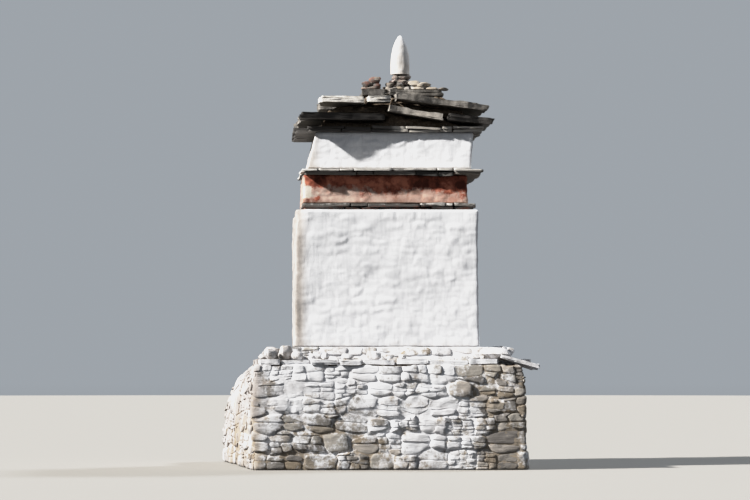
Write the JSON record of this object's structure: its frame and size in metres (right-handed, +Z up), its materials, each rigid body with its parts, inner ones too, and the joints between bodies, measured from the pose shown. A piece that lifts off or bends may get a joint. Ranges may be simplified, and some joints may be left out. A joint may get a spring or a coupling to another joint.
{
  "type": "stupa",
  "caption": "Square Himalayan stupa: a whitewashed rubble tower on a rubble plinth, with a red ochre band between slate courses, a roof of rough slate slabs and a white pointed finial.",
  "frame": {"origin": "on the ground, at the lowest level of the plinth, under the middle of the shaft", "axes": "+Z up to the finial, +Y towards the back, so the front face in the picture looks along -Y"},
  "size_m": [4.5925, 4.0872, 6.4489],
  "materials": {
    "limewash": "matt brushed limewash on rough lime plaster over rubble",
    "worn_limewash": "matt worn limewash on bare rubble, stained with earth",
    "red_ochre": "matt faded red ochre wash on rubble",
    "slate": "rough split slate, weathered, with pale edges and lichen",
    "mud_bedding": "dry mud and small stones between the roof slabs"
  },
  "bodies": {
    "root": {"bed_slabs_back": "slate", "bed_slabs_front": "slate", "bed_slabs_left": "slate", "bed_slabs_right": "slate", "cap_stone_back_right": "slate", "cap_stone_front_right": "slate", "cap_stone_left": "slate", "crown_slab_left": "slate", "crown_slab_right": "slate", "eave_slab_back_left": "slate", "eave_slab_back_right": "slate", "eave_slab_front_left": "slate", "eave_slab_front_right": "slate", "eave_slab_left_back": "slate", "eave_slab_left_front": "slate", "eave_slab_right_back": "slate", "eave_slab_right_front": "slate", "finial": "limewash", "finial_base": "slate", "footing": "worn_limewash", "head_wall": "limewash", "ledge_flags_back": "worn_limewash", "ledge_flags_front": "worn_limewash", "ledge_flags_left": "worn_limewash", "ledge_flags_right": "worn_limewash", "lower_string_back": "slate", "lower_string_front": "slate", "lower_string_left": "slate", "lower_string_right": "slate", "plinth": "worn_limewash", "red_band": "red_ochre", "roof_core": "mud_bedding", "shaft": "limewash", "upper_slab_back_left": "slate", "upper_slab_back_right": "slate", "upper_slab_front_left": "slate", "upper_slab_front_right": "slate", "upper_slab_left_back": "slate", "upper_slab_left_front": "slate", "upper_slab_right_back": "slate", "upper_slab_right_front": "slate", "upper_string_back": "slate", "upper_string_front": "slate", "upper_string_left": "slate", "upper_string_right": "slate"}
  },
  "joints": []
}
